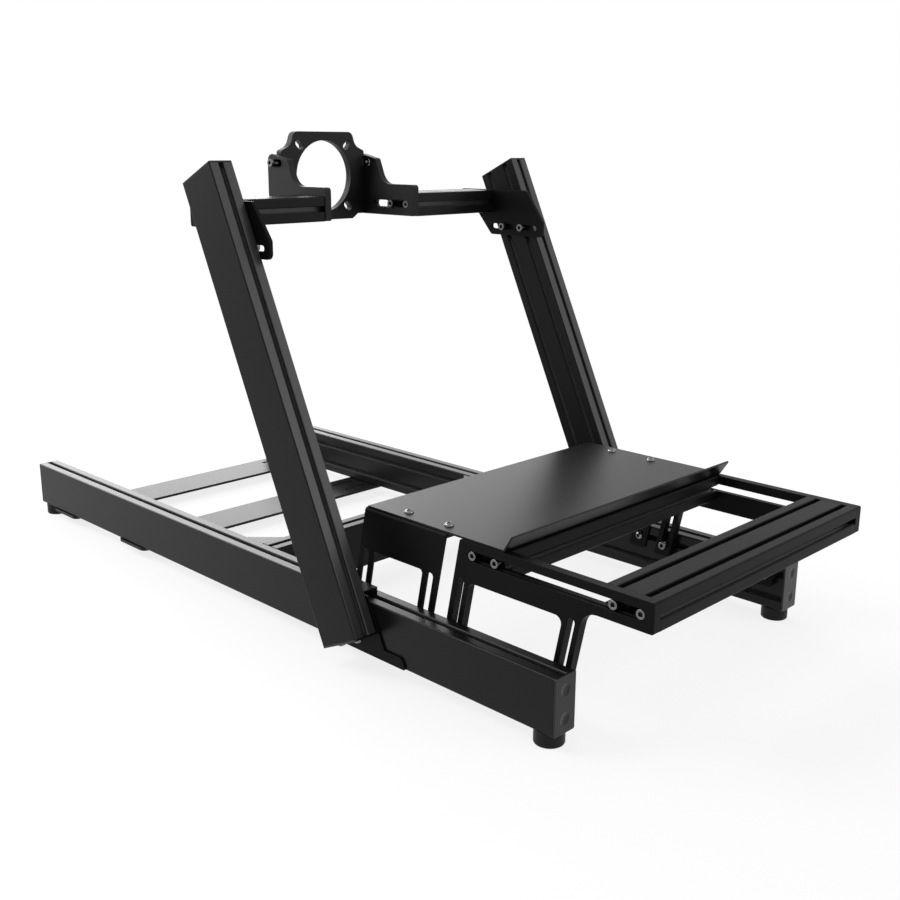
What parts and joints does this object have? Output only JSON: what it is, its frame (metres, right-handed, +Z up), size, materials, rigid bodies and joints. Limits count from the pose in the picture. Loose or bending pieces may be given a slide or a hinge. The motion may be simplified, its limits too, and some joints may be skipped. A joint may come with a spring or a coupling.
{
  "type": "driving simulator cockpit frame",
  "caption": "Open cockpit frame of slotted profiles on rubber feet, with leaning uprights and a wheel mount, seat bars, a heel plate and a pedal deck; no seat.",
  "frame": {"origin": "on the floor at the centre of the overall bounding box", "axes": "+X to the driver's right, +Y forward to the pedals, +Z up"},
  "size_m": [0.686, 1.4594, 0.7485],
  "materials": {
    "profile": "satin black anodised",
    "plate": "satin black anodised plate",
    "sheet": "fine black powder coat",
    "cap": "matte black",
    "foot": "matte black"
  },
  "bodies": {
    "root": {"rail_right": "profile", "rail_left": "profile", "rail_cap_front_right": "cap", "rail_cap_front_left": "cap", "rail_cap_rear_right": "cap", "rail_cap_rear_left": "cap", "foot_front_right": "foot", "foot_front_left": "foot", "foot_rear_right": "foot", "foot_rear_left": "foot", "seat_bar_rear": "sheet", "seat_bar_front": "sheet", "mid_beam": "profile", "corner_bracket_right": "plate", "corner_bracket_left": "plate", "upright_bracket_right": "sheet", "upright_bracket_left": "sheet", "upright_right": "profile", "upright_left": "profile", "upright_cap_top_right": "cap", "upright_cap_top_left": "cap", "upright_cap_bottom_right": "cap", "upright_cap_bottom_left": "cap", "beam_plate_right": "plate", "beam_plate_left": "plate", "wheel_beam_right": "profile", "wheel_beam_left": "profile", "wheel_side_right": "plate", "wheel_side_left": "plate", "wheel_face": "plate", "heel_support_right": "sheet", "heel_support_left": "sheet", "heel_plate": "sheet", "deck_side_right": "plate", "deck_side_left": "plate", "deck_beam_rear": "profile", "deck_beam_front": "profile"}
  },
  "joints": []
}
